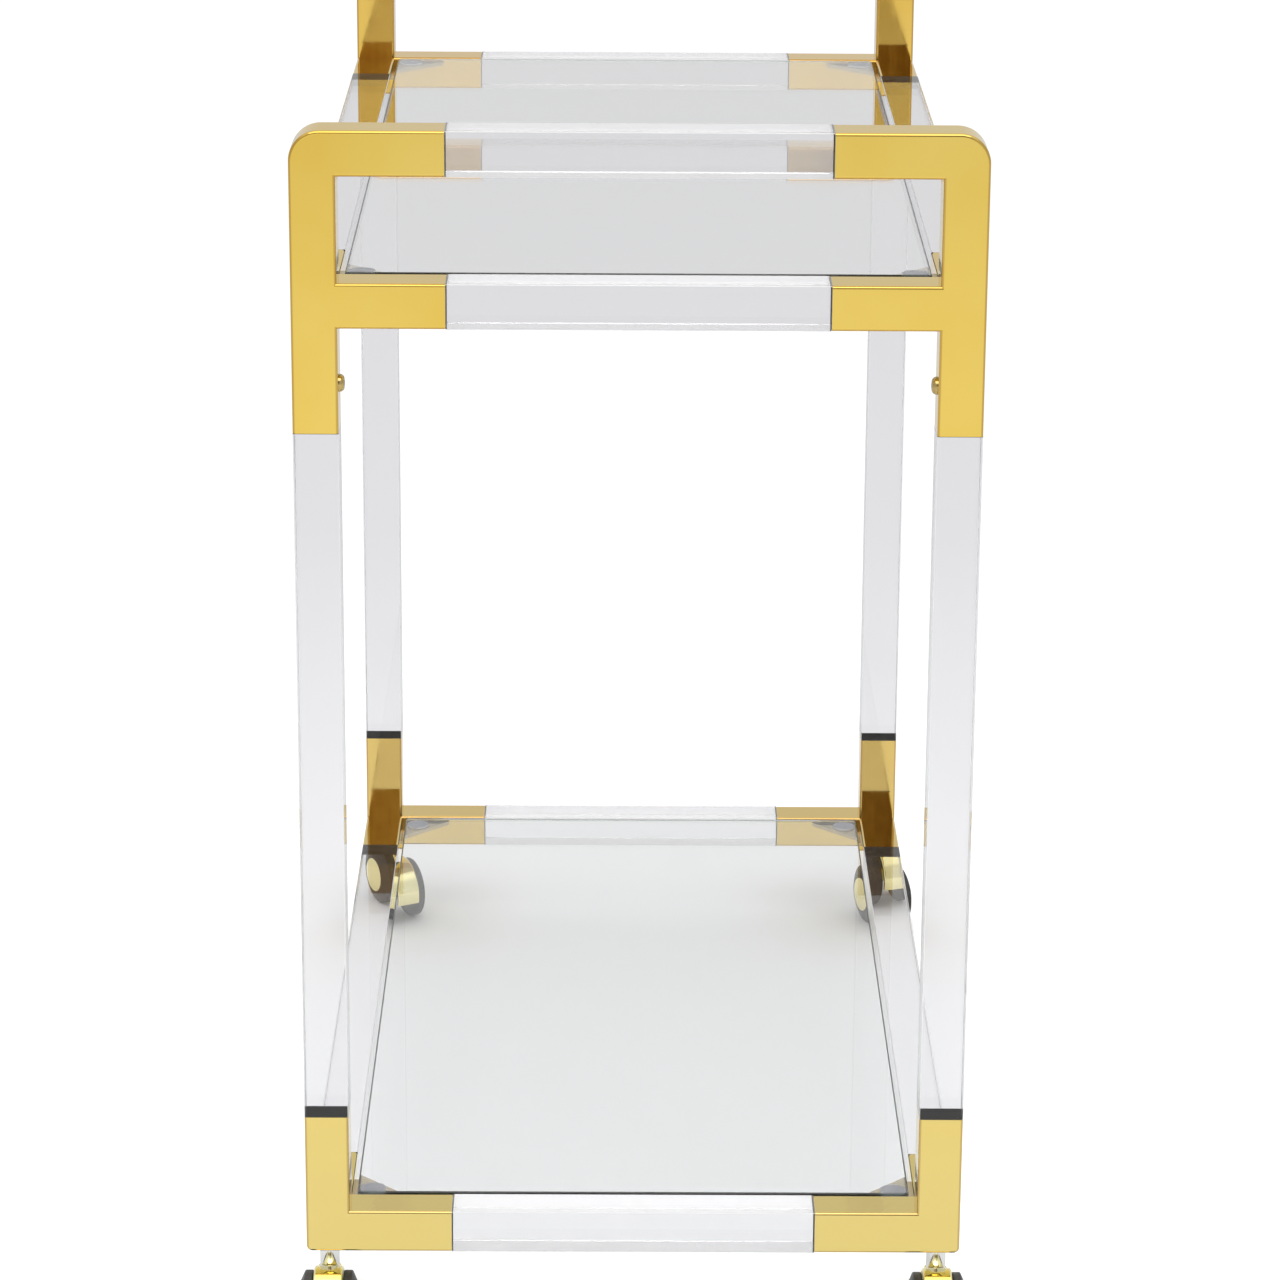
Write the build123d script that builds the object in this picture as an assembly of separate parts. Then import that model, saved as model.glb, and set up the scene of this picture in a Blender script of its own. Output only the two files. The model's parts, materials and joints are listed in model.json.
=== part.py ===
from build123d import *
import os
from math import cos, radians, sin

# A two-tier bar cart. Square brass-plated brackets hold clear acrylic bars at every corner, a glass
# shelf lies in the upper and the lower frame, and four hooded twin-wheel casters carry it.
# Millimetres, +Z up, X across the cart, Y along it, floor at z = 0. The origin is under the middle of
# the whole cart, trailing casters included, so the frame stands a little off it.

# ---- driving dimensions -----------------------------------------------------------------------
WIDTH = 450.0               # outside the frame, across
LENGTH = 830.0              # outside the frame, along
HANDLE_TOP = 848.0
UPPER_FRAME_TOP = 748.0
LOWER_FRAME_TOP = 95.0
TUBE = 30.0                 # square section of brackets and bars
FRAME_CENTRE = (-6.0, 14.0)  # where the middle of the frame stands from the origin

# brackets
ARM_REACH = 70.0            # every arm and socket stands this far beyond the tube it leaves
WALL = 2.0
TUBE_EDGE = 2.0             # rounding along the tube's long edges
HANDLE_CORNER = 20.0        # outside radius where post turns into handle
FOOT_CORNER = 4.0           # outside radius along the foot's outer side

# acrylic bars and the plugs that join them to the sockets
BAR_EDGE = 0.6
PLUG_FLANGE = 0.3
PLUG_FLANGE_INSET = 0.3
PLUG_DEPTH = 34.0
PLUG_CLEARANCE = 0.05

# leg bolts
BOLT_Z = 678.5
BOLT_HEAD_RADIUS = 6.0
BOLT_HEAD_HEIGHT = 3.6
BOLT_RADIUS = 3.0
BOLT_LENGTH = 15.0
BOLT_HOLE_RADIUS = 3.2
INSERT_RADIUS = 4.5
INSERT_LENGTH = 11.0
HEX_SOCKET_RADIUS = 2.2
HEX_SOCKET_DEPTH = 2.0

# shelves
SHELF_THICKNESS = 6.0
SHELF_GAP = 3.5             # from the glass edge to the frame
SHELF_CORNER = 3.0
SHELF_ARRIS = 0.8
TAB_LEG = 40.0
TAB_THICKNESS = 3.0
TAB_TIP = 3.0
PAD_THICKNESS = 1.5
PAD_RADIUS = 9.0
PAD_EDGE = 0.5
PAD_INSET = 14.0            # pad centre from both walls of its corner

# casters
CASTER_HEIGHT = 65.0
WHEEL_RADIUS = 25.0
WHEEL_WIDTH = 10.0
TREAD_WIDTH = 5.9
SHOULDER = (9.0, 18.0)      # where the sloping shoulder meets the outer face: across, radius
CASTER_TRAIL = 18.0
HOOD_WIDTH = 20.0
HOOD_GAP = 0.4              # hood to wheel
HOOD_RADIUS = 28.0
HOOD_SHELL = 2.6
HOOD_BACK_ANGLE = 18.0      # degrees above level, behind the axle
HOOD_FRONT_ANGLE = 190.0    # degrees round to the front, just below the axle
HOOD_EDGE = 1.6
WEB_WIDTH = 6.0
AXLE_RADIUS = 3.0
AXLE_BOSS_RADIUS = 7.0
AXLE_HEAD_RADIUS = 4.6
AXLE_HEAD = 1.2
RUNNING_CLEARANCE = 0.05
FIT_CLEARANCE = 0.02
STEM_BOSS_RADIUS = 8.0
STEM_BOSS_TOP = 47.0
STEM_BOSS_BOTTOM = 31.0
STEM_GAP = 0.3              # neck to the boss that turns under it
NECK_RADIUS = 6.8
NECK_SEAT_GAP = 0.5         # round the neck, where the hood's top is cut flat for it
PIN_RADIUS = 4.0
PIN_BOTTOM = 27.6
CLIP_BOTTOM = 29.2
CLIP_THICKNESS = 1.4
CLIP_RADIUS = 6.6
CLIP_GROOVE_RADIUS = 3.2
STUD_TOP = 84.0
STUD_HOLE_RADIUS = 4.3
NUT_THICKNESS = 9.0
CAP_RADIUS = 14.2
CAP_THICKNESS = 1.5
CAP_DOME = 0.8
CAP_CLEARANCE = 0.05

# how far each caster is turned at rest, degrees about +Z from trailing towards -Y
CASTER_TURN = {
    "near_left": 0.0,
    "near_right": 0.0,
    "far_left": 28.0,
    "far_right": 20.0,
}

# ---- places worked out from the dimensions ---------------------------------------------------
HALF_X = WIDTH / 2
HALF_Y = LENGTH / 2
UPPER_FRAME_BOTTOM = UPPER_FRAME_TOP - TUBE
LOWER_FRAME_BOTTOM = CASTER_HEIGHT
HANDLE_BOTTOM = HANDLE_TOP - TUBE
SOCKET_BOTTOM = UPPER_FRAME_BOTTOM - ARM_REACH      # mouth that the leg's top enters
SOCKET_TOP = LOWER_FRAME_TOP + ARM_REACH            # mouth that the leg's foot enters
ARM_END = TUBE + ARM_REACH                          # arm's mouth, from the outside of the corner
BORE = TUBE - 2 * WALL
AXIS_X = HALF_X - TUBE / 2
AXIS_Y = HALF_Y - TUBE / 2
PAST = 1.0                                          # how far a cut runs past a face

# The four corners: name, side across, side along.
CORNERS = [
    ("near_left", -1, -1),
    ("near_right", 1, -1),
    ("far_left", -1, 1),
    ("far_right", 1, 1),
]
ENDS = [("near", -1), ("far", 1)]
SIDES = [("left", -1), ("right", 1)]


def box_between(low, high):
    """A box from its lowest to its highest corner."""
    size = [b - a for a, b in zip(low, high)]
    middle = [(a + b) / 2 for a, b in zip(low, high)]
    return Pos(*middle) * Box(*size)


def to_corner(shape, side_x, side_y):
    """Mirror a shape made for the near left corner (-X, -Y) to another corner."""
    if side_x > 0:
        shape = mirror(shape, about=Plane.YZ)
    if side_y > 0:
        shape = mirror(shape, about=Plane.XZ)
    return shape


def write(pieces, node):
    """Stand a piece, or a list of separate pieces, in the cart's frame and write it as one node."""
    if not isinstance(pieces, list):
        pieces = [pieces]
    placed = [Pos(FRAME_CENTRE[0], FRAME_CENTRE[1], 0) * piece for piece in pieces]
    solids = [solid for piece in placed for solid in piece.solids()]
    export_step(solids[0] if len(solids) == 1 else Compound(solids), f"parts/{node}.step")


# ---- brackets ---------------------------------------------------------------------------------
# A bracket is made for the near left corner (-X, -Y) and mirrored to the others.
LEFT = -HALF_X
FRONT = -HALF_Y
MOUTH_X = LEFT + ARM_END
MOUTH_Y = FRONT + ARM_END


def is_convex(solid, edge):
    """True where the solid fills one quarter of the space around an edge, not three."""
    middle = edge @ 0.5
    along = edge % 0.5
    across = Vector(0, 1, 0)
    if abs(along.dot(across)) > 0.5:
        across = Vector(1, 0, 0)
    other = along.cross(across).normalized()
    filled = [
        solid.is_inside(middle + across * step_a + other * step_b)
        for step_a in (-0.5, 0.5)
        for step_b in (-0.5, 0.5)
    ]
    return sum(filled) == 1


def rounded(post, mouth_z):
    """Round every outer edge of a post, but leave the rims of its mouths crisp."""
    solid = post.solids()[0]

    def in_mouth(middle):
        return abs(middle.X - MOUTH_X) < 0.01 or abs(middle.Z - mouth_z) < 0.01

    edges = [edge for edge in solid.edges() if not in_mouth(edge @ 0.5) and is_convex(solid, edge)]
    return fillet(edges, TUBE_EDGE)


def tube_box(inset, low, high):
    """A straight piece of tube as a box; an inset of the wall makes the hollow inside it."""
    return box_between([value + inset for value in low], [value - inset for value in high])


def upper_post(inset, past):
    """Post and handle arm, with the outer corner between them turned round."""
    post = tube_box(
        inset, (LEFT, FRONT, SOCKET_BOTTOM - inset - past), (LEFT + TUBE, FRONT + TUBE, HANDLE_TOP)
    )
    post += tube_box(
        inset, (LEFT, FRONT, HANDLE_BOTTOM), (MOUTH_X + inset + past, FRONT + TUBE, HANDLE_TOP)
    )
    handle_corner = post.edges().filter_by(Axis.Y).group_by(Axis.X)[0].sort_by(Axis.Z)[-1]
    return fillet(handle_corner, HANDLE_CORNER - inset)


def foot_rounded(solid, radius):
    """Round the lowest edge on the outer side, which runs along the cart."""
    return fillet(solid.edges().filter_by(Axis.Y).group_by(Axis.X)[0].sort_by(Axis.Z)[0], radius)


def lower_post(inset, past):
    """The leg socket, down to the frame's underside, with its foot turned a little round."""
    post = tube_box(
        inset,
        (LEFT, FRONT, LOWER_FRAME_BOTTOM),
        (LEFT + TUBE, FRONT + TUBE, SOCKET_TOP + inset + past),
    )
    return foot_rounded(post, FOOT_CORNER - inset)


def side_section(foot_corner):
    """The outline of a side arm; its lower outer corner may be rounder than the others."""
    square = Rectangle(TUBE, TUBE)
    foot = square.vertices().group_by(Axis.X)[0].sort_by(Axis.Y)[0]
    outline = fillet(foot, foot_corner)
    sharp = [
        corner
        for corner in outline.vertices()
        if abs(abs(corner.X) - TUBE / 2) < 0.01 and abs(abs(corner.Y) - TUBE / 2) < 0.01
    ]
    return fillet(sharp, TUBE_EDGE)


def frame_arms(bottom, foot_corner):
    """Cross arm and side arm of a frame corner, from the post's axis to their mouths."""
    section = RectangleRounded(TUBE, TUBE, TUBE_EDGE)
    across = extrude(Plane.YZ * section, amount=MOUTH_X + AXIS_X)
    along = extrude(Plane.XZ * side_section(foot_corner), amount=-(MOUTH_Y + AXIS_Y))
    return Pos(-AXIS_X, -AXIS_Y, bottom + TUBE / 2) * (across + along)


def arm_hollows(bottom):
    """The hollows of both arms, from the post's outer wall to past their mouths."""
    past = WALL + PAST
    across = ((LEFT, FRONT, bottom), (MOUTH_X + past, FRONT + TUBE, bottom + TUBE))
    along = ((LEFT, FRONT, bottom), (LEFT + TUBE, MOUTH_Y + past, bottom + TUBE))
    return tube_box(WALL, *across) + tube_box(WALL, *along)


def upper_bracket():
    """Near left upper corner: handle arm, post, cross arm, side arm and leg socket in one piece."""
    bracket = rounded(upper_post(0, 0), SOCKET_BOTTOM) + frame_arms(UPPER_FRAME_BOTTOM, TUBE_EDGE)
    bracket -= upper_post(WALL, PAST) + arm_hollows(UPPER_FRAME_BOTTOM)
    bolt_hole = Rot(0, 90, 0) * Cylinder(BOLT_HOLE_RADIUS, 2 * WALL)
    return bracket - Pos(LEFT + TUBE - WALL / 2, -AXIS_Y, BOLT_Z) * bolt_hole


def lower_bracket():
    """Near left lower corner: leg socket, cross arm and side arm, with the caster's hole below."""
    bracket = rounded(lower_post(0, 0), SOCKET_TOP) + frame_arms(LOWER_FRAME_BOTTOM, FOOT_CORNER)
    bracket -= lower_post(WALL, PAST) + arm_hollows(LOWER_FRAME_BOTTOM)
    stud_hole = Cylinder(STUD_HOLE_RADIUS, 3 * WALL)
    return bracket - Pos(-AXIS_X, -AXIS_Y, LOWER_FRAME_BOTTOM) * stud_hole


# ---- acrylic bars and their plugs --------------------------------------------------------------
def bar(length):
    """An upright clear bar with softened edges, centred on the origin."""
    edges = RectangleRounded(TUBE, TUBE, BAR_EDGE)
    return Pos(0, 0, -length / 2) * extrude(edges, amount=length)


def bar_between_mouths(span):
    """A bar that fills the space between two mouths, less the two plug flanges."""
    return bar(span - 2 * PLUG_FLANGE)


def plug():
    """A plug whose flange lies on a mouth at z = 0; its body goes down into the socket."""
    flange_side = TUBE - 2 * PLUG_FLANGE_INSET
    body_side = BORE - 2 * PLUG_CLEARANCE
    flange = extrude(RectangleRounded(flange_side, flange_side, TUBE_EDGE), amount=PLUG_FLANGE)
    body = extrude(RectangleRounded(body_side, body_side, BAR_EDGE), amount=-PLUG_DEPTH)
    return flange + body


def leg_top_plug():
    """The plug at the top of a leg, with a blind pocket for the bolt's insert on its +X side."""
    side = BORE / 2 - PLUG_CLEARANCE
    depth = SOCKET_BOTTOM - BOLT_Z
    pocket = Rot(0, 90, 0) * Cylinder(INSERT_RADIUS + FIT_CLEARANCE, INSERT_LENGTH)
    tip = Rot(0, 90, 0) * Cylinder(BOLT_HOLE_RADIUS, BOLT_LENGTH)
    drilled = plug() - Pos(side - INSERT_LENGTH / 2, 0, depth) * pocket
    return drilled - Pos(side - BOLT_LENGTH / 2, 0, depth) * tip


def cross_plugs(z_middle):
    """The four plugs of the two bars that run across at one height."""
    mouth = HALF_X - ARM_END
    return [
        Pos(side_x * mouth, side_y * AXIS_Y, z_middle) * Rot(0, -90 * side_x, 0) * plug()
        for _, side_y in ENDS
        for _, side_x in SIDES
    ]


def side_plugs(z_middle):
    """The four plugs of the two bars that run along the sides at one height."""
    mouth = HALF_Y - ARM_END
    return [
        Pos(side_x * AXIS_X, side_y * mouth, z_middle) * Rot(90 * side_y, 0, 0) * plug()
        for _, side_y in ENDS
        for _, side_x in SIDES
    ]


def leg_plugs():
    """A plug at the foot and at the top of each leg."""
    plugs = []
    for _, side_x, side_y in CORNERS:
        plugs.append(Pos(side_x * AXIS_X, side_y * AXIS_Y, SOCKET_TOP) * plug())
        top = Pos(-AXIS_X, -AXIS_Y, SOCKET_BOTTOM) * mirror(leg_top_plug(), about=Plane.XY)
        plugs.append(to_corner(top, side_x, side_y))
    return plugs


# ---- leg bolts ----------------------------------------------------------------------------------
def leg_bolt():
    """A dome-head bolt through the inner wall of the near left leg socket, pointing to -X."""
    head = Cylinder(BOLT_HEAD_RADIUS, BOLT_HEAD_HEIGHT, align=(Align.CENTER, Align.CENTER, Align.MIN))
    head = fillet(head.edges().sort_by(Axis.Z)[-1], BOLT_HEAD_HEIGHT - 0.4)
    recess = Pos(0, 0, BOLT_HEAD_HEIGHT - HEX_SOCKET_DEPTH) * extrude(
        RegularPolygon(HEX_SOCKET_RADIUS, 6), amount=HEX_SOCKET_DEPTH + PAST
    )
    shank = Cylinder(BOLT_RADIUS, BOLT_LENGTH, align=(Align.CENTER, Align.CENTER, Align.MAX))
    bolt = head - recess + shank
    return Pos(-HALF_X + TUBE, -AXIS_Y, BOLT_Z) * Rot(0, 90, 0) * bolt


def bolt_insert():
    """The threaded sleeve in the near left leg's top plug."""
    sleeve = Cylinder(INSERT_RADIUS, INSERT_LENGTH) - Cylinder(
        BOLT_RADIUS + FIT_CLEARANCE, 2 * INSERT_LENGTH
    )
    mouth = -AXIS_X + BORE / 2 - PLUG_CLEARANCE
    return Pos(mouth - INSERT_LENGTH / 2, -AXIS_Y, BOLT_Z) * Rot(0, 90, 0) * sleeve


# ---- shelves --------------------------------------------------------------------------------------
def shelf_glass(frame_top):
    """A glass shelf, flush with the top of its frame."""
    width = WIDTH - 2 * (TUBE + SHELF_GAP)
    length = LENGTH - 2 * (TUBE + SHELF_GAP)
    outline = RectangleRounded(width, length, SHELF_CORNER)
    pane = Pos(0, 0, frame_top - SHELF_THICKNESS) * extrude(outline, amount=SHELF_THICKNESS)
    rims = pane.faces().sort_by(Axis.Z)[0].edges() + pane.faces().sort_by(Axis.Z)[-1].edges()
    return chamfer(rims, SHELF_ARRIS)


def shelf_tab(frame_top):
    """The triangular tab across the near left inner corner of a frame."""
    corner_x = -HALF_X + TUBE
    corner_y = -HALF_Y + TUBE
    top = frame_top - SHELF_THICKNESS - PAD_THICKNESS
    outline = Polyline(
        (corner_x, corner_y),
        (corner_x + TAB_LEG, corner_y),
        (corner_x + TAB_LEG, corner_y + TAB_TIP),
        (corner_x + TAB_TIP, corner_y + TAB_LEG),
        (corner_x, corner_y + TAB_LEG),
        close=True,
    )
    return Pos(0, 0, top - TAB_THICKNESS) * extrude(make_face(outline), amount=TAB_THICKNESS)


def shelf_pad(frame_top):
    """The round soft pad between the near left tab and the glass."""
    disc = Cylinder(PAD_RADIUS, PAD_THICKNESS, align=(Align.CENTER, Align.CENTER, Align.MAX))
    disc = chamfer(disc.edges().sort_by(Axis.Z)[0], PAD_EDGE)
    return Pos(
        -HALF_X + TUBE + PAD_INSET, -HALF_Y + TUBE + PAD_INSET, frame_top - SHELF_THICKNESS
    ) * disc


# ---- casters ----------------------------------------------------------------------------------------
# Each caster is made with its stem on the Z axis, floor at z = 0, trailing towards -Y.
AXLE_Y = -CASTER_TRAIL
WHEEL_INNER = HOOD_WIDTH / 2 + HOOD_GAP
CAP_SEAT = WHEEL_WIDTH - CAP_THICKNESS      # from the wheel's inner face
HEAD_SEAT = CAP_SEAT - AXLE_HEAD - 0.6


def side_plate(face, width):
    """Extrude a face drawn in Y and Z evenly about the YZ plane."""
    plane = Plane(origin=(-width / 2, 0, 0), x_dir=(0, 1, 0), z_dir=(1, 0, 0))
    return extrude(plane * face, amount=width)


def sector(outer, inner, start, end):
    """A ring sector about the axle, drawn in Y and Z, between two angles in degrees."""
    middle = (start + end) / 2

    def point(radius, angle):
        return (AXLE_Y + radius * cos(radians(angle)), WHEEL_RADIUS + radius * sin(radians(angle)))

    outside = ThreePointArc(point(outer, start), point(outer, middle), point(outer, end))
    front = Line(point(outer, end), point(inner, end))
    inside = ThreePointArc(point(inner, end), point(inner, middle), point(inner, start))
    back = Line(point(inner, start), point(outer, start))
    return make_face([outside, front, inside, back])


def caster_hood():
    """Hood, web, axle boss and stem boss in one casting."""
    shell_face = sector(HOOD_RADIUS, HOOD_RADIUS - HOOD_SHELL, HOOD_BACK_ANGLE, HOOD_FRONT_ANGLE)
    shell = side_plate(shell_face, HOOD_WIDTH)
    outer_arcs = [
        edge
        for edge in shell.edges().filter_by(GeomType.CIRCLE)
        if abs(edge.radius - HOOD_RADIUS) < 0.01
    ]
    shell = fillet(outer_arcs, HOOD_EDGE)
    web_face = sector(HOOD_RADIUS - 1, AXLE_BOSS_RADIUS - 2, HOOD_BACK_ANGLE, HOOD_FRONT_ANGLE)
    hood = shell + side_plate(web_face, WEB_WIDTH)
    hood += Pos(0, AXLE_Y, WHEEL_RADIUS) * Rot(0, 90, 0) * Cylinder(AXLE_BOSS_RADIUS, HOOD_WIDTH)
    boss_height = STEM_BOSS_TOP - STEM_BOSS_BOTTOM
    hood += Pos(0, 0, STEM_BOSS_BOTTOM + boss_height / 2) * Cylinder(STEM_BOSS_RADIUS, boss_height)
    hood -= Pos(0, AXLE_Y, WHEEL_RADIUS) * Rot(0, 90, 0) * Cylinder(
        AXLE_RADIUS + FIT_CLEARANCE, HOOD_WIDTH + 2 * PAST
    )
    hood -= Pos(0, 0, STEM_BOSS_BOTTOM) * Cylinder(
        PIN_RADIUS + RUNNING_CLEARANCE, 2 * (STEM_BOSS_TOP - STEM_BOSS_BOTTOM) + 2 * PAST
    )
    seat = Cylinder(NECK_RADIUS + NECK_SEAT_GAP, 2 * HOOD_RADIUS)
    hood -= Pos(0, 0, STEM_BOSS_TOP + HOOD_RADIUS) * seat
    clip_room = STEM_BOSS_BOTTOM - PIN_BOTTOM + PAST
    hood -= Pos(0, 0, STEM_BOSS_BOTTOM - clip_room / 2) * Cylinder(STEM_BOSS_RADIUS, clip_room)
    return hood


def caster_axle():
    """The axle with its two peened heads."""
    half = WHEEL_INNER + HEAD_SEAT + 0.3
    shaft = Cylinder(AXLE_RADIUS, 2 * half)
    for end in (-1, 1):
        shaft += Pos(0, 0, end * (half + AXLE_HEAD / 2)) * Cylinder(AXLE_HEAD_RADIUS, AXLE_HEAD)
    return Pos(0, AXLE_Y, WHEEL_RADIUS) * Rot(0, 90, 0) * shaft


def caster_wheel():
    """The wheel on the +X side: tread, sloping shoulder, recess for the cap and the axle's head."""
    bore = AXLE_RADIUS + RUNNING_CLEARANCE
    outline = Polyline(
        (bore, 0),
        (WHEEL_RADIUS - 0.8, 0),
        (WHEEL_RADIUS, 0.8),
        (WHEEL_RADIUS, TREAD_WIDTH),
        (SHOULDER[1], SHOULDER[0]),
        (CAP_RADIUS + 1.0, WHEEL_WIDTH),
        (CAP_RADIUS, WHEEL_WIDTH),
        (CAP_RADIUS, CAP_SEAT),
        (AXLE_HEAD_RADIUS + 0.4, CAP_SEAT),
        (AXLE_HEAD_RADIUS + 0.4, HEAD_SEAT),
        (bore, HEAD_SEAT),
        close=True,
    )
    wheel = revolve(make_face(Plane.XZ * make_face(outline)), Axis.Z)
    ridge = [
        edge
        for edge in wheel.edges().filter_by(GeomType.CIRCLE)
        if abs(edge.radius - WHEEL_RADIUS) < 0.01 and edge.center().Z > 1
    ]
    wheel = fillet(ridge, 1.2)
    return Pos(WHEEL_INNER, AXLE_Y, WHEEL_RADIUS) * Rot(0, 90, 0) * wheel


def caster_cap():
    """The polished cap in the +X wheel, a flat disc with a shallow dome."""
    radius = CAP_RADIUS - CAP_CLEARANCE
    cap = Cylinder(radius, CAP_THICKNESS, align=(Align.CENTER, Align.CENTER, Align.MIN))
    dome_radius = (radius**2 + CAP_DOME**2) / (2 * CAP_DOME)
    ball = Pos(0, 0, CAP_THICKNESS + CAP_DOME - dome_radius) * Sphere(dome_radius)
    above = Cylinder(radius, 2 * CAP_DOME, align=(Align.CENTER, Align.CENTER, Align.MIN))
    cap += Pos(0, 0, CAP_THICKNESS) * above & ball
    return Pos(WHEEL_INNER + CAP_SEAT, AXLE_Y, WHEEL_RADIUS) * Rot(0, 90, 0) * cap


def caster_stem():
    """Polished neck, the pin that turns in the hood, and the stud that goes up into the nut."""
    outline = Polyline(
        (0, PIN_BOTTOM),
        (PIN_RADIUS - 0.5, PIN_BOTTOM),
        (PIN_RADIUS, PIN_BOTTOM + 0.5),
        (PIN_RADIUS, CLIP_BOTTOM),
        (CLIP_GROOVE_RADIUS, CLIP_BOTTOM),
        (CLIP_GROOVE_RADIUS, CLIP_BOTTOM + CLIP_THICKNESS),
        (PIN_RADIUS, CLIP_BOTTOM + CLIP_THICKNESS),
        (PIN_RADIUS, STEM_BOSS_TOP + STEM_GAP),
        (NECK_RADIUS, STEM_BOSS_TOP + STEM_GAP),
        (NECK_RADIUS, CASTER_HEIGHT),
        (PIN_RADIUS, CASTER_HEIGHT),
        (PIN_RADIUS, STUD_TOP - 1),
        (PIN_RADIUS - 1, STUD_TOP),
        (0, STUD_TOP),
        close=True,
    )
    return revolve(Plane.XZ * make_face(outline), Axis.Z)


def stem_clip():
    """The open ring in the pin's groove that keeps the hood up."""
    ring = Cylinder(CLIP_RADIUS, CLIP_THICKNESS) - Cylinder(
        CLIP_GROOVE_RADIUS + FIT_CLEARANCE, 2 * CLIP_THICKNESS
    )
    slot = Pos(0, CLIP_RADIUS, 0) * Box(1.6 * CLIP_GROOVE_RADIUS, 2 * CLIP_RADIUS, 2 * CLIP_THICKNESS)
    return Pos(0, 0, CLIP_BOTTOM + CLIP_THICKNESS / 2) * (ring - slot)


def stem_nut():
    """The square nut inside the lower bracket that takes the caster's stud."""
    side = BORE - 2 * PLUG_CLEARANCE
    block = Box(side, side, NUT_THICKNESS) - Cylinder(PIN_RADIUS + FIT_CLEARANCE, 2 * NUT_THICKNESS)
    return Pos(0, 0, LOWER_FRAME_BOTTOM + WALL + NUT_THICKNESS / 2) * block


def under_corner(shape, side_x, side_y, turn=0.0):
    """Put a shape made about the stem under a corner, turned about the stem."""
    return Pos(side_x * AXIS_X, side_y * AXIS_Y, 0) * Rot(0, 0, turn) * shape


# ---- build -------------------------------------------------------------------------------------------
def write_brackets():
    upper = upper_bracket()
    lower = lower_bracket()
    for corner, side_x, side_y in CORNERS:
        write(to_corner(upper, side_x, side_y), f"upper_bracket_{corner}")
        write(to_corner(lower, side_x, side_y), f"lower_bracket_{corner}")


def write_bars():
    across = bar_between_mouths(WIDTH - 2 * ARM_END)
    along = bar_between_mouths(LENGTH - 2 * ARM_END)
    leg = bar_between_mouths(SOCKET_BOTTOM - SOCKET_TOP)
    levels = [
        ("upper", UPPER_FRAME_TOP - TUBE / 2),
        ("lower", LOWER_FRAME_TOP - TUBE / 2),
    ]
    for end, side_y in ENDS:
        handle_z = HANDLE_TOP - TUBE / 2
        write(Pos(0, side_y * AXIS_Y, handle_z) * Rot(0, 90, 0) * across, f"handle_bar_{end}")
        for level, z in levels:
            write(Pos(0, side_y * AXIS_Y, z) * Rot(0, 90, 0) * across, f"{level}_cross_rail_{end}")
    for side, side_x in SIDES:
        for level, z in levels:
            write(Pos(side_x * AXIS_X, 0, z) * Rot(90, 0, 0) * along, f"{level}_side_rail_{side}")
    leg_z = (SOCKET_BOTTOM + SOCKET_TOP) / 2
    for corner, side_x, side_y in CORNERS:
        write(Pos(side_x * AXIS_X, side_y * AXIS_Y, leg_z) * leg, f"leg_{corner}")


def write_joining_pieces():
    rail_plugs = []
    for top in (HANDLE_TOP, UPPER_FRAME_TOP, LOWER_FRAME_TOP):
        rail_plugs += cross_plugs(top - TUBE / 2)
    for top in (UPPER_FRAME_TOP, LOWER_FRAME_TOP):
        rail_plugs += side_plugs(top - TUBE / 2)
    write(rail_plugs, "rail_plugs")
    write(leg_plugs(), "leg_plugs")
    write([to_corner(leg_bolt(), x, y) for _, x, y in CORNERS], "leg_bolts")
    write([to_corner(bolt_insert(), x, y) for _, x, y in CORNERS], "leg_bolt_inserts")


def write_shelves():
    for level, frame_top in (("upper", UPPER_FRAME_TOP), ("lower", LOWER_FRAME_TOP)):
        write(shelf_glass(frame_top), f"{level}_shelf_glass")
        tab = shelf_tab(frame_top)
        pad = shelf_pad(frame_top)
        write([to_corner(tab, x, y) for _, x, y in CORNERS], f"{level}_shelf_tabs")
        write([to_corner(pad, x, y) for _, x, y in CORNERS], f"{level}_shelf_pads")


def write_casters():
    hood = caster_hood()
    axle = caster_axle()
    wheel = caster_wheel()
    cap = caster_cap()
    wheels = [
        ("left", mirror(wheel, about=Plane.YZ), mirror(cap, about=Plane.YZ)),
        ("right", wheel, cap),
    ]
    for corner, side_x, side_y in CORNERS:
        turn = CASTER_TURN[corner]
        write(under_corner(hood, side_x, side_y, turn), f"caster_hood_{corner}")
        write(under_corner(axle, side_x, side_y, turn), f"caster_axle_{corner}")
        for side, one_wheel, one_cap in wheels:
            write(under_corner(one_wheel, side_x, side_y, turn), f"wheel_{side}_{corner}")
            write(under_corner(one_cap, side_x, side_y, turn), f"hub_cap_{side}_{corner}")
    fixed = [("caster_stems", caster_stem()), ("stem_clips", stem_clip()), ("stem_nuts", stem_nut())]
    for node, piece in fixed:
        write([under_corner(piece, x, y) for _, x, y in CORNERS], node)


os.makedirs("parts", exist_ok=True)
write_brackets()
write_bars()
write_joining_pieces()
write_shelves()
write_casters()
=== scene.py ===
import json
from math import cos, sin

import bpy
from mathutils import Matrix, Vector


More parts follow.
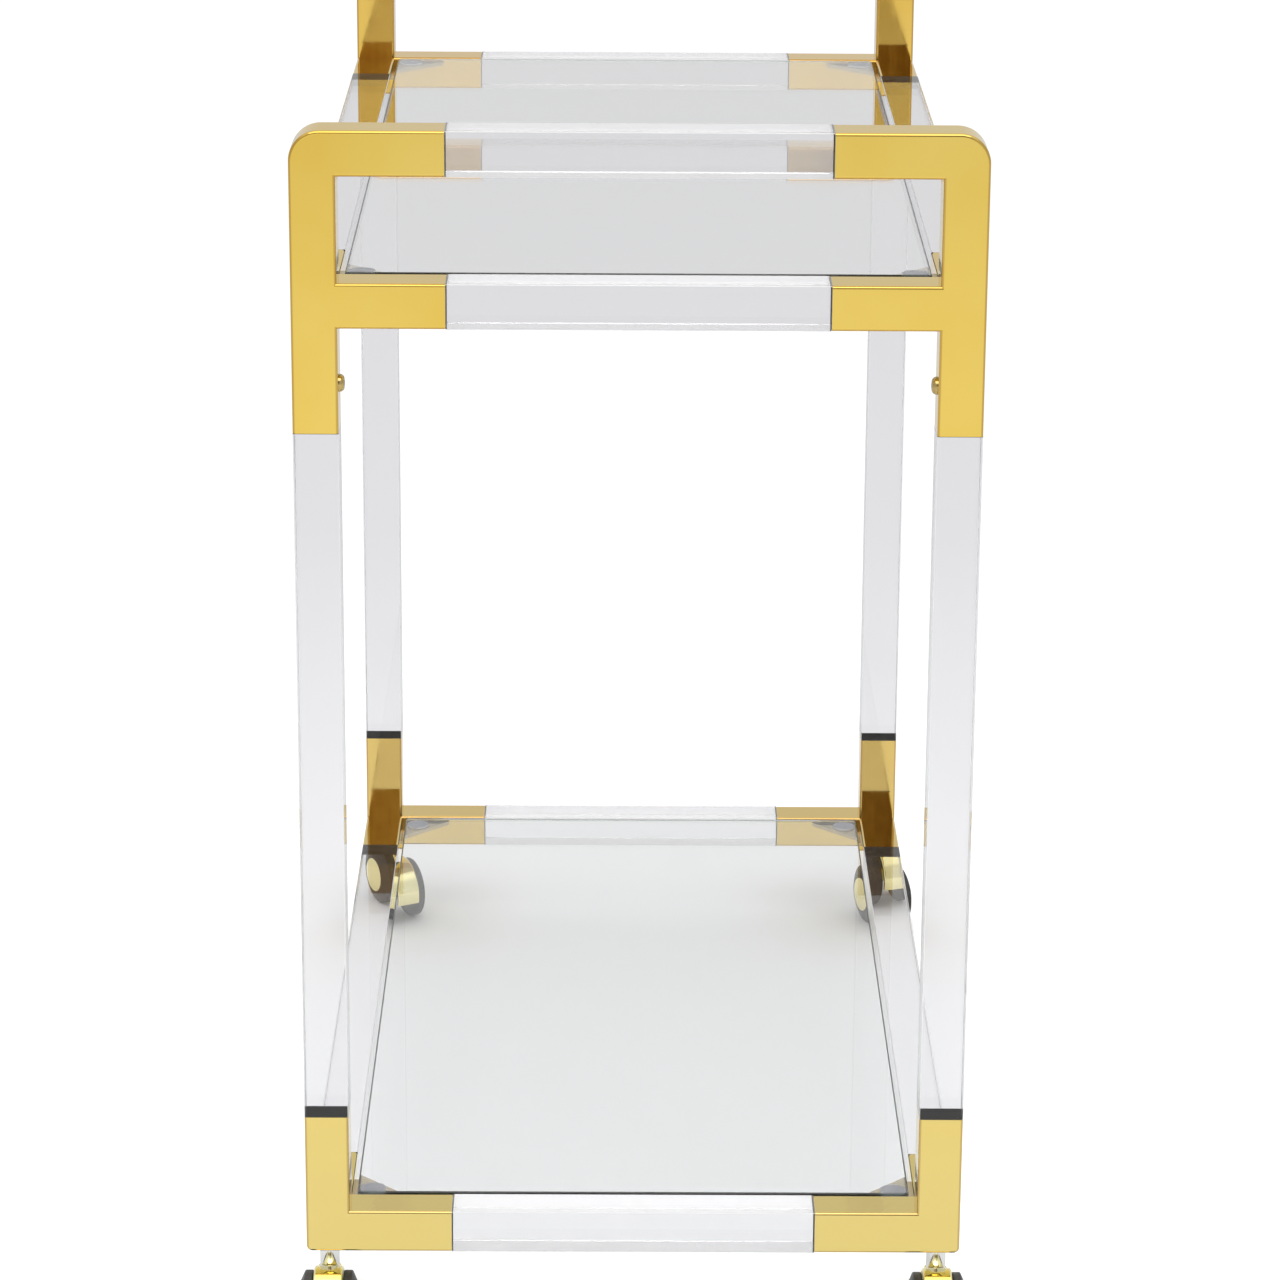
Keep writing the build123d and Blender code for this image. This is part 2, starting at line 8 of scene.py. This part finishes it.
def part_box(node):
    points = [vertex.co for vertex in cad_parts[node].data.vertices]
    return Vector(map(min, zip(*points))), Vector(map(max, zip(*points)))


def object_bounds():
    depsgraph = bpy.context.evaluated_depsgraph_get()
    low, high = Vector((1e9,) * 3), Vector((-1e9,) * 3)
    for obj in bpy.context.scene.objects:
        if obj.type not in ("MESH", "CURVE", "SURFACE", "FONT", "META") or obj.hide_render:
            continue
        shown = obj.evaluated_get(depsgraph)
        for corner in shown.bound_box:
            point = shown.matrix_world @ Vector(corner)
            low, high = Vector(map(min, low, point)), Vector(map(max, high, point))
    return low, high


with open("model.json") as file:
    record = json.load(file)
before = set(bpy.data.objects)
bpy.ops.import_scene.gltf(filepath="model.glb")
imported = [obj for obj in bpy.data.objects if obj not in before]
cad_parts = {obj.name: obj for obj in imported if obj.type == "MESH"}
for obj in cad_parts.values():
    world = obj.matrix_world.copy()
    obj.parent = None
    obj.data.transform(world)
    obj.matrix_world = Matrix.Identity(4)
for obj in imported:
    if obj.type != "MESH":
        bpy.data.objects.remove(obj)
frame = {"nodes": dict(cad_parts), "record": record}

cad_low, cad_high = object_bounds()

# ---- looks ------------------------------------------------------------------------------------
# Colours are linear. Each surface has a second colour that its noise drifts to.
GOLD = (0.85, 0.63, 0.155)
GOLD_DEEP = (0.82, 0.565, 0.107)
# The low tint below is painted reflection: the lower parts are paler, standing in for the bright floor
# they reflect.
GOLD_LOW_PAINTED_REFLECTION = (0.82, 0.65, 0.225)
GOLD_FAR_PAINTED_REFLECTION = (1.0, 0.93, 0.93)         # the share of each channel left at the cart's far end: painted reflection, a deeper gold for the dark things the far sockets reflect
GOLD_EDGE_PAINTED_DARK_LINES = (0.74, 0.67, 0.70)       # and on the rounded edges of its front and back faces: painted dark reflection lines
# The casters' lemon gold is partly their own paler plating and partly painted light: brightened for the
# white floor's bounce.
LEMON = (1.0, 0.93, 0.52)
LEMON_DEEP = (0.98, 0.88, 0.44)
BRASS = (0.60, 0.50, 0.32)
BRASS_DEEP = (0.52, 0.42, 0.25)
STEEL = (0.62, 0.62, 0.60)
STEEL_DEEP = (0.50, 0.50, 0.49)
CHROME = (0.80, 0.80, 0.78)
CHROME_DEEP = (0.72, 0.72, 0.71)
PLUG = (0.068, 0.068, 0.062)
PLUG_WORN = (0.085, 0.085, 0.078)
PLUG_PALE = (0.34, 0.34, 0.33)
PLUG_PALE_WORN = (0.42, 0.42, 0.41)
BOLT = (0.55, 0.42, 0.17)
BOLT_DEEP = (0.42, 0.30, 0.11)
WHEEL = (0.022, 0.022, 0.024)
WHEEL_WORN = (0.045, 0.044, 0.043)
SILICONE = (0.90, 0.90, 0.94)
SILICONE_DEEP = (0.82, 0.83, 0.86)
ACRYLIC = (0.996, 0.990, 1.0)
ACRYLIC_DEEP = (0.990, 0.984, 0.996)
ACRYLIC_BEVEL = (0.93, 0.93, 0.94)
ACRYLIC_TOP_PAINTED_LIGHT = {"X": 0.09, "Y": 0.0, "Z": 0.0}   # how far a bar's upper side is turned from clear to white, by its axis: painted light on its top
ACRYLIC_END = {"X": (0.62, 0.62, 0.63), "Y": (0.09, 0.088, 0.078), "Z": (0.10, 0.098, 0.088)}
GLASS = (0.985, 0.99, 0.99)
GLASS_DEEP = (0.975, 0.985, 0.982)
GLASS_EDGE = (0.32, 0.41, 0.36)
SHADE_PASSED = (0.985, 0.985, 0.985)   # how much of a lamp's light each clear face lets through
FLOOR = (0.82, 0.828, 0.838)
FLOOR_DEEP = (0.805, 0.813, 0.823)
FLOOR_BEHIND_PAINTED_SHADE = (0.70, 0.70, 0.715)   # painted shade: the paper is coloured darker behind the cart, for the light falling off there
FLOOR_LIFT = 0.35                    # how much paler the floor itself shows than its light elsewhere
FLOOR_HALF = 9.0                     # metres

# ---- light and view ---------------------------------------------------------------------------
# Brightness by the sine of the elevation, from the horizon at 0 to overhead at 1.
ROOM = ((0.0, 0.80), (0.35, 0.76), (0.60, 0.85), (0.75, 1.3), (1.0, 1.35))
DARK_STAND = (0.20, 0.13, 0.06)      # the dim warm patch behind the viewer
STAND_FOOT, STAND_TOP = (0.06, 0.14), (0.44, 0.56)   # where it fades in and out, upwards
STAND_SIDE = (0.40, 0.15)            # and sideways, from nothing to all of it
STAND_GAP = (0.042, 0.047)           # a slit up its middle is fainter, and ends between these
STAND_IN_GAP = 0.35                  # the share of it left there
STAND_LEFT, STAND_RIGHT = 1.5, 0.7   # it is paler on the left
ROOM_STRENGTH = 0.91
BACKDROP_STRENGTH = 1.05             # what the camera itself sees behind everything
SOFTBOX_SIDE, SOFTBOX_ENERGY = 2.6, 34.0
SOFTBOX_PLACE = (0.0, -1.7, 2.9)
LENS, SENSOR_WIDTH = 129.33, 36.0    # millimetres
EYE = (-0.0211, -3.2948, 1.4283)
YAW, PITCH, ROLL = 0.00595, 0.30784, -0.00629   # radians: turned to the right, tipped down, tilted
CLIP_END = 60.0


class Look:
    """A material under construction: one Principled shader and the nodes that feed it."""

    def __init__(self, name):
        self.material = bpy.data.materials.new(name)
        self.material.use_nodes = True
        self.tree = self.material.node_tree
        self.shader = self.tree.nodes["Principled BSDF"]
        self.place = self.node("ShaderNodeTexCoord").outputs["Object"]
        self.bumps = None

    def node(self, kind, **settings):
        made = self.tree.nodes.new(kind)
        for name, value in settings.items():
            setattr(made, name, value)
        return made

    def link(self, source, target):
        self.tree.links.new(source, target)

    def noise(self, scale, detail=4.0, stretch=(1, 1, 1), roughness=0.5):
        """Noise in object space; stretch scales it apart along the axes."""
        mapping = self.node("ShaderNodeMapping")
        mapping.inputs["Scale"].default_value = stretch
        self.link(self.place, mapping.inputs["Vector"])
        noise = self.node("ShaderNodeTexNoise")
        noise.inputs["Scale"].default_value = scale
        noise.inputs["Detail"].default_value = detail
        noise.inputs["Roughness"].default_value = roughness
        self.link(mapping.outputs["Vector"], noise.inputs["Vector"])
        return noise.outputs["Fac"]

    def range(self, source, low, high, start=0.3, end=0.7):
        """A value's stretch from start to end turned into low to high."""
        change = self.node("ShaderNodeMapRange")
        change.inputs["From Min"].default_value = start
        change.inputs["From Max"].default_value = end
        change.inputs["To Min"].default_value = low
        change.inputs["To Max"].default_value = high
        self.link(source, change.inputs["Value"])
        return change.outputs["Result"]

    def math(self, operation, first, second):
        made = self.node("ShaderNodeMath", operation=operation)
        for socket, value in zip(made.inputs, (first, second)):
            if isinstance(value, (int, float)):
                socket.default_value = value
            else:
                self.link(value, socket)
        return made.outputs[0]

    def blend(self, factor, first, second):
        """One colour to another by a factor; either may be a plain colour or a socket."""
        mix = self.node("ShaderNodeMix", data_type="RGBA")
        self.link(factor, mix.inputs["Factor"])
        for socket, value in zip((mix.inputs[6], mix.inputs[7]), (first, second)):
            if isinstance(value, tuple):
                socket.default_value = (*value, 1)
            else:
                self.link(value, socket)
        return mix.outputs[2]

    def facing(self, axis):
        """How far a face looks along an axis: 1 when straight along it, and -1 straight against."""
        geometry = self.node("ShaderNodeNewGeometry")
        apart = self.node("ShaderNodeSeparateXYZ")
        self.link(geometry.outputs["True Normal"], apart.inputs[0])
        return apart.outputs[axis]

    def axis_mask(self, axis, start=0.75, end=0.85):
        """1 on faces that look along an axis, either way, and 0 on the others."""
        size = self.math("ABSOLUTE", self.facing(axis), 0.0)
        return self.range(size, 0.0, 1.0, start, end)

    def bevel_mask(self, start=0.985, end=0.95):
        """1 on faces that slant between the axes, as rounded edges do, and 0 on flat sides."""
        across, along, upright = [self.math("ABSOLUTE", self.facing(axis), 0.0) for axis in "XYZ"]
        squarest = self.math("MAXIMUM", self.math("MAXIMUM", across, along), upright)
        return self.range(squarest, 0.0, 1.0, start, end)

    def front_edge_mask(self):
        """1 on edges rounded between a face that looks along Y and its neighbours, else 0."""
        along = self.math("ABSOLUTE", self.facing("Y"), 0.0)
        off_side = self.range(along, 0.0, 1.0, 0.08, 0.25)
        off_front = self.range(along, 1.0, 0.0, 0.95, 0.99)
        return self.math("MULTIPLY", off_side, off_front)

    def shade(self, factor, colour, share):
        """A colour lowered to a share of itself, channel by channel, as far as the factor says."""
        mix = self.node("ShaderNodeMix", data_type="RGBA", blend_type="MULTIPLY")
        self.link(factor, mix.inputs["Factor"])
        self.link(colour, mix.inputs[6])
        mix.inputs[7].default_value = (*share, 1)
        return mix.outputs[2]

    def set(self, **values):
        """Plain values on the shader's own sockets, by their names with _ for spaces."""
        for name, value in values.items():
            self.shader.inputs[name.replace("_", " ")].default_value = value

    def colour(self, source):
        self.link(source, self.shader.inputs["Base Color"])

    def roughness(self, source):
        self.link(source, self.shader.inputs["Roughness"])

    def lets_lamps_through(self):
        """Clear material: rays from lamps pass straight on, so that what lies behind is lit."""
        path = self.node("ShaderNodeLightPath")
        clear = self.node("ShaderNodeBsdfTransparent")
        clear.inputs["Color"].default_value = (*SHADE_PASSED, 1)
        choose = self.node("ShaderNodeMixShader")
        self.link(path.outputs["Is Shadow Ray"], choose.inputs["Fac"])
        self.link(self.shader.outputs[0], choose.inputs[1])
        self.link(clear.outputs[0], choose.inputs[2])
        self.link(choose.outputs[0], self.tree.nodes["Material Output"].inputs["Surface"])

    def bump(self, source, distance, strength=1.0):
        """Adds relief; each further call adds to the one before."""
        bump = self.node("ShaderNodeBump")
        bump.inputs["Distance"].default_value = distance
        bump.inputs["Strength"].default_value = strength
        self.link(source, bump.inputs["Height"])
        if self.bumps is not None:
            self.link(self.bumps, bump.inputs["Normal"])
        self.bumps = bump.outputs["Normal"]
        self.link(self.bumps, self.shader.inputs["Normal"])


def plated(name, colour, deep, smooth=0.04, rough=0.09, low=None):
    """Polished plate over steel: slow drift of tint, faint orange peel and fine hairlines.

    A low tint, when given, takes over towards the floor, and the tint then also changes towards the
    far end and on rounded edges, as the far and edge shares say. All three are painted reflection:
    the low tint is paler for the bright floor below, the far end deeper, and the edges carry dark
    lines.
    """
    look = Look(name)
    look.set(Metallic=1.0)
    drift = look.noise(9.0, detail=3.0)
    cloud = look.noise(60.0, detail=5.0)
    hair = look.noise(420.0, detail=2.0, stretch=(1.0, 1.0, 0.08))
    tint = look.blend(look.range(drift, 0.0, 1.0), colour, deep)
    if low is not None:
        place = look.node("ShaderNodeSeparateXYZ")
        look.link(look.place, place.inputs[0])
        # Painted reflection: paler gold towards the floor, for the bright floor it reflects.
        tint = look.blend(look.range(place.outputs["Z"], 1.0, 0.0, 0.10, 0.45), tint, low)
        # Painted reflection: the gold turns deeper towards the far end.
        tint = look.shade(look.range(place.outputs["Y"], 0.0, 1.0, 0.20, 0.38), tint, GOLD_FAR_PAINTED_REFLECTION)
        # Painted reflection: dark lines on the rounded edges of the front and back faces.
        tint = look.shade(look.front_edge_mask(), tint, GOLD_EDGE_PAINTED_DARK_LINES)
    look.colour(tint)
    haze = look.math("ADD", look.range(cloud, smooth, rough), look.range(hair, -0.012, 0.012))
    look.roughness(haze)
    look.bump(look.noise(120.0, detail=2.0), 0.000006, 0.3)
    look.bump(hair, 0.000002, 0.3)
    return look.material


def turned(name, colour, deep, smooth, rough, rings):
    """Turned or drawn metal: fine rings round the upright axis."""
    look = Look(name)
    look.set(Metallic=1.0)
    ring = look.noise(rings, detail=3.0, stretch=(0.02, 0.02, 1.0))
    cloud = look.noise(90.0)
    look.colour(look.blend(look.range(cloud, 0.0, 1.0), colour, deep))
    look.roughness(look.range(ring, smooth, rough))
    look.bump(ring, 0.00001, 0.4)
    return look.material


def moulded(name, colour, worn, grain, smooth, rough):
    """Moulded plastic or rubber: fine grain, and rubbed patches a little paler and smoother."""
    look = Look(name)
    patches = look.noise(35.0, detail=5.0, roughness=0.6)
    fine = look.noise(grain, detail=3.0)
    look.colour(look.blend(look.range(patches, 0.0, 1.0, 0.42, 0.68), colour, worn))
    look.roughness(look.range(patches, rough, smooth, 0.35, 0.7))
    look.bump(fine, 0.00004, 0.5)
    return look.material


def silicone(name):
    """A soft clear pad, hazy and a little uneven."""
    look = Look(name)
    look.set(Transmission_Weight=0.35, IOR=1.41)
    cloud = look.noise(160.0, detail=4.0)
    look.colour(look.blend(look.range(cloud, 0.0, 1.0), SILICONE, SILICONE_DEEP))
    look.roughness(look.range(cloud, 0.3, 0.5))
    look.bump(cloud, 0.00005, 0.4)
    return look.material


def acrylic(name, axis):
    """A clear cast bar along an axis, with frosted edges, and sawn ends that meet the plugs."""
    look = Look(name)
    look.set(IOR=1.49)
    end = look.axis_mask(axis)
    bevel = look.bevel_mask()
    cloud = look.noise(14.0, detail=4.0)
    clear = look.blend(look.range(cloud, 0.0, 1.0), ACRYLIC, ACRYLIC_DEEP)
    look.colour(look.blend(end, look.blend(bevel, clear, ACRYLIC_BEVEL), ACRYLIC_END[axis]))
    polish = look.range(look.noise(45.0, detail=5.0), 0.0, 0.015)
    frosted = look.range(look.noise(2500.0, detail=2.0), 0.32, 0.40)
    haze = look.math("MAXIMUM", polish, look.math("MULTIPLY", bevel, frosted))
    look.roughness(look.math("MAXIMUM", haze, look.range(end, 0.0, 0.55, 0.0, 1.0)))
    inside = look.range(end, 1.0, 0.0, 0.0, 1.0)
    clearness = look.math("MINIMUM", inside, look.range(bevel, 1.0, 0.45, 0.0, 1.0))
    # Painted light: the upper side of bars along X is made less clear and so whiter, as if lit from
    # above.
    upper_side = look.range(look.facing("Z"), 1.0, 1.0 - ACRYLIC_TOP_PAINTED_LIGHT[axis], 0.90, 0.98)
    clearness = look.math("MULTIPLY", clearness, upper_side)
    look.link(clearness, look.shader.inputs["Transmission Weight"])
    look.bump(look.noise(7.0, detail=1.0), 0.00001, 0.05)
    look.lets_lamps_through()
    return look.material


def plate_glass(name):
    """Clear glass with faint haze; its ground edges are darker and green."""
    look = Look(name)
    look.set(IOR=1.5)
    face = look.axis_mask("Z")
    cloud = look.noise(5.0, detail=4.0)
    clear = look.blend(look.range(cloud, 0.0, 1.0), GLASS, GLASS_DEEP)
    look.colour(look.blend(face, GLASS_EDGE, clear))
    smear = look.range(look.noise(22.0, detail=5.0), 0.0, 0.02)
    look.roughness(look.math("MAXIMUM", smear, look.range(face, 0.3, 0.0, 0.0, 1.0)))
    look.set(Transmission_Weight=1.0)
    look.bump(look.noise(2.5, detail=1.0), 0.00005, 0.1)
    look.lets_lamps_through()
    return look.material


def paper_floor():
    """A pale matt floor with the faintest mottle, and painted shade darkening it behind the cart."""
    look = Look("floor_pale")
    cloud = look.noise(1.4, detail=4.0)
    along = look.node("ShaderNodeSeparateXYZ")
    look.link(look.place, along.inputs[0])
    # Painted shade: the floor colour darkens behind the cart.
    behind = look.range(along.outputs["Y"], 0.0, 1.0, 0.2, 1.6)
    mottled = look.blend(look.range(cloud, 0.0, 1.0), FLOOR, FLOOR_DEEP)
    look.colour(look.blend(behind, mottled, FLOOR_BEHIND_PAINTED_SHADE))
    look.set(Roughness=0.9, Specular_IOR_Level=0.1)
    look.bump(look.noise(500.0, detail=2.0), 0.00005, 0.2)
    lift = look.node("ShaderNodeEmission")
    path = look.node("ShaderNodeLightPath")
    look.link(look.math("MULTIPLY", path.outputs["Is Camera Ray"], FLOOR_LIFT), lift.inputs["Strength"])
    both = look.node("ShaderNodeAddShader")
    look.link(look.shader.outputs[0], both.inputs[0])
    look.link(lift.outputs[0], both.inputs[1])
    look.link(both.outputs[0], look.tree.nodes["Material Output"].inputs["Surface"])
    return look.material


LOOKS = {
    "gold": plated("gold_plate", GOLD, GOLD_DEEP, low=GOLD_LOW_PAINTED_REFLECTION),
    # The caster gold is partly painted light, brightened for the floor's bounce.
    "hood": plated("gold_hood", LEMON, LEMON_DEEP, 0.05, 0.10),
    "hub_cap": plated("gold_cap", LEMON, LEMON_DEEP, 0.06, 0.12),
    "bolt": plated("gold_bolt", BOLT, BOLT_DEEP, 0.10, 0.2),
    "tab": plated("brass_tab", BRASS, BRASS_DEEP, 0.12, 0.22),
    "insert": turned("brass_insert", BRASS, BRASS_DEEP, 0.2, 0.35, 900.0),
    "stem": turned("chrome_stem", CHROME, CHROME_DEEP, 0.05, 0.12, 700.0),
    "axle": turned("steel_axle", STEEL, STEEL_DEEP, 0.2, 0.35, 900.0),
    "zinc": plated("zinc_plate", STEEL, STEEL_DEEP, 0.3, 0.45),
    "plug": moulded("plug_plastic", PLUG, PLUG_WORN, 900.0, 0.4, 0.6),
    "wheel": moulded("wheel_rubber", WHEEL, WHEEL_WORN, 1200.0, 0.38, 0.55),
    "pad": silicone("silicone_pad"),
    "upper_glass": plate_glass("glass_upper"),
    "lower_glass": plate_glass("glass_lower"),
}
RAIL_PLUGS = moulded("plug_plastic_pale", PLUG_PALE, PLUG_PALE_WORN, 900.0, 0.4, 0.6)
ACRYLIC_ALONG = {axis: acrylic(f"acrylic_{axis.lower()}", axis) for axis in "XYZ"}


def bar_axis(node):
    """The axis that a bar runs along, from its box."""
    low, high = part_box(node)
    sizes = [high[i] - low[i] for i in range(3)]
    return "XYZ"[sizes.index(max(sizes))]


slots = {part["node"]: part["material_slot"] for part in frame["record"]["subparts"]}
for name, piece in frame["nodes"].items():
    if slots[name] == "acrylic":
        look = ACRYLIC_ALONG[bar_axis(name)]
    elif name == "rail_plugs":
        look = RAIL_PLUGS
    else:
        look = LOOKS[slots[name]]
    piece.data.materials.clear()
    piece.data.materials.append(look)


# ---- floor, light and camera -----------------------------------------------------------------
def make_floor():
    """A wide sheet of paper under the wheels."""
    mesh = bpy.data.meshes.new("floor")
    signs = ((-1, -1), (1, -1), (1, 1), (-1, 1))
    corners = [(x * FLOOR_HALF, y * FLOOR_HALF, cad_low[2]) for x, y in signs]
    mesh.from_pydata(corners, [], [(0, 1, 2, 3)])
    mesh.materials.append(paper_floor())
    floor = bpy.data.objects.new("floor", mesh)
    bpy.context.scene.collection.objects.link(floor)


def make_light():
    """A soft white studio, brighter overhead, with a dim warm stand behind the viewer."""
    world = bpy.data.worlds.new("studio")
    bpy.context.scene.world = world
    world.use_nodes = True
    tree = world.node_tree
    tree.nodes.clear()
    out = tree.nodes.new("ShaderNodeOutputWorld")
    place = tree.nodes.new("ShaderNodeTexCoord")
    apart = tree.nodes.new("ShaderNodeSeparateXYZ")
    tree.links.new(place.outputs["Generated"], apart.inputs[0])

    def ramp(stops):
        """Colours by the sine of the elevation."""
        made = tree.nodes.new("ShaderNodeValToRGB")
        tree.links.new(apart.outputs["Z"], made.inputs["Fac"])
        while len(made.color_ramp.elements) < len(stops):
            made.color_ramp.elements.new(0.5)
        for element, (position, colour) in zip(made.color_ramp.elements, stops):
            element.position = position
            element.color = (*colour, 1)
        return made.outputs["Color"]

    def fade(source, start, end, low=0.0, high=1.0):
        """A value's stretch from start to end turned into low to high."""
        change = tree.nodes.new("ShaderNodeMapRange")
        stretch = (("From Min", start), ("From Max", end), ("To Min", low), ("To Max", high))
        for socket, value in stretch:
            change.inputs[socket].default_value = value
        tree.links.new(source, change.inputs["Value"])
        return change.outputs["Result"]

    def join(operation, first, second=None):
        """A sum or the like of one or two values."""
        made = tree.nodes.new("ShaderNodeMath")
        made.operation = operation
        tree.links.new(first, made.inputs[0])
        if second is not None:
            tree.links.new(second, made.inputs[1])
        return made.outputs[0]

    def grey(value):
        return (value, value, value)

    low, _, high, brighter, _ = [grey(value) for _, value in ROOM]
    room = ramp([(sine, grey(value)) for sine, value in ROOM])
    dark = ((STAND_FOOT[1], DARK_STAND), (STAND_TOP[0], DARK_STAND))
    stand = ramp(((STAND_FOOT[0], low), *dark, (STAND_TOP[1], high), (ROOM[3][0], brighter)))
    dimmer = tree.nodes.new("ShaderNodeVectorMath")
    dimmer.operation = "SCALE"
    tree.links.new(stand, dimmer.inputs[0])
    leftward = fade(apart.outputs["X"], -0.08, 0.08, STAND_LEFT, STAND_RIGHT)
    tree.links.new(leftward, dimmer.inputs["Scale"])
    aside = join("ABSOLUTE", apart.outputs["X"])
    in_stand = join("MULTIPLY", fade(apart.outputs["Y"], -0.5, -0.8), fade(aside, *STAND_SIDE))
    in_stand = join("MULTIPLY", in_stand, fade(aside, *STAND_GAP, STAND_IN_GAP, 1.0))
    round_room = tree.nodes.new("ShaderNodeMix")
    round_room.data_type = "RGBA"
    tree.links.new(in_stand, round_room.inputs["Factor"])
    tree.links.new(room, round_room.inputs[6])
    tree.links.new(dimmer.outputs[0], round_room.inputs[7])
    light = tree.nodes.new("ShaderNodeBackground")
    tree.links.new(round_room.outputs[2], light.inputs["Color"])
    light.inputs["Strength"].default_value = ROOM_STRENGTH
    white = tree.nodes.new("ShaderNodeBackground")
    white.inputs["Strength"].default_value = BACKDROP_STRENGTH
    white.inputs["Color"].default_value = (1, 1, 1, 1)
    path = tree.nodes.new("ShaderNodeLightPath")
    choose = tree.nodes.new("ShaderNodeMixShader")
    tree.links.new(path.outputs["Is Camera Ray"], choose.inputs["Fac"])
    tree.links.new(light.outputs[0], choose.inputs[1])
    tree.links.new(white.outputs[0], choose.inputs[2])
    tree.links.new(choose.outputs[0], out.inputs["Surface"])

    box = bpy.data.lights.new("softbox", "AREA")
    box.shape = "RECTANGLE"
    box.size, box.size_y = SOFTBOX_SIDE, SOFTBOX_SIDE
    box.energy = SOFTBOX_ENERGY
    lamp = bpy.data.objects.new("softbox", box)
    lamp.location = SOFTBOX_PLACE
    bpy.context.scene.collection.objects.link(lamp)


def make_camera():
    """Looks down the cart's length from a little above it."""
    data = bpy.data.cameras.new("camera")
    data.lens = LENS
    data.sensor_width = SENSOR_WIDTH
    camera = bpy.data.objects.new("camera", data)
    bpy.context.scene.collection.objects.link(camera)
    forward = Vector((sin(YAW) * cos(PITCH), cos(YAW) * cos(PITCH), -sin(PITCH)))
    level = Vector((cos(YAW), -sin(YAW), 0))
    down = forward.cross(level)
    right = cos(ROLL) * level + sin(ROLL) * down
    up = sin(ROLL) * level - cos(ROLL) * down
    turn = Matrix((right, up, -forward)).transposed().to_4x4()
    camera.matrix_world = Matrix.Translation(EYE) @ turn
    data.clip_end = CLIP_END
    bpy.context.scene.camera = camera


make_floor()
make_light()
make_camera()
bpy.context.scene.view_settings.view_transform = "Standard"
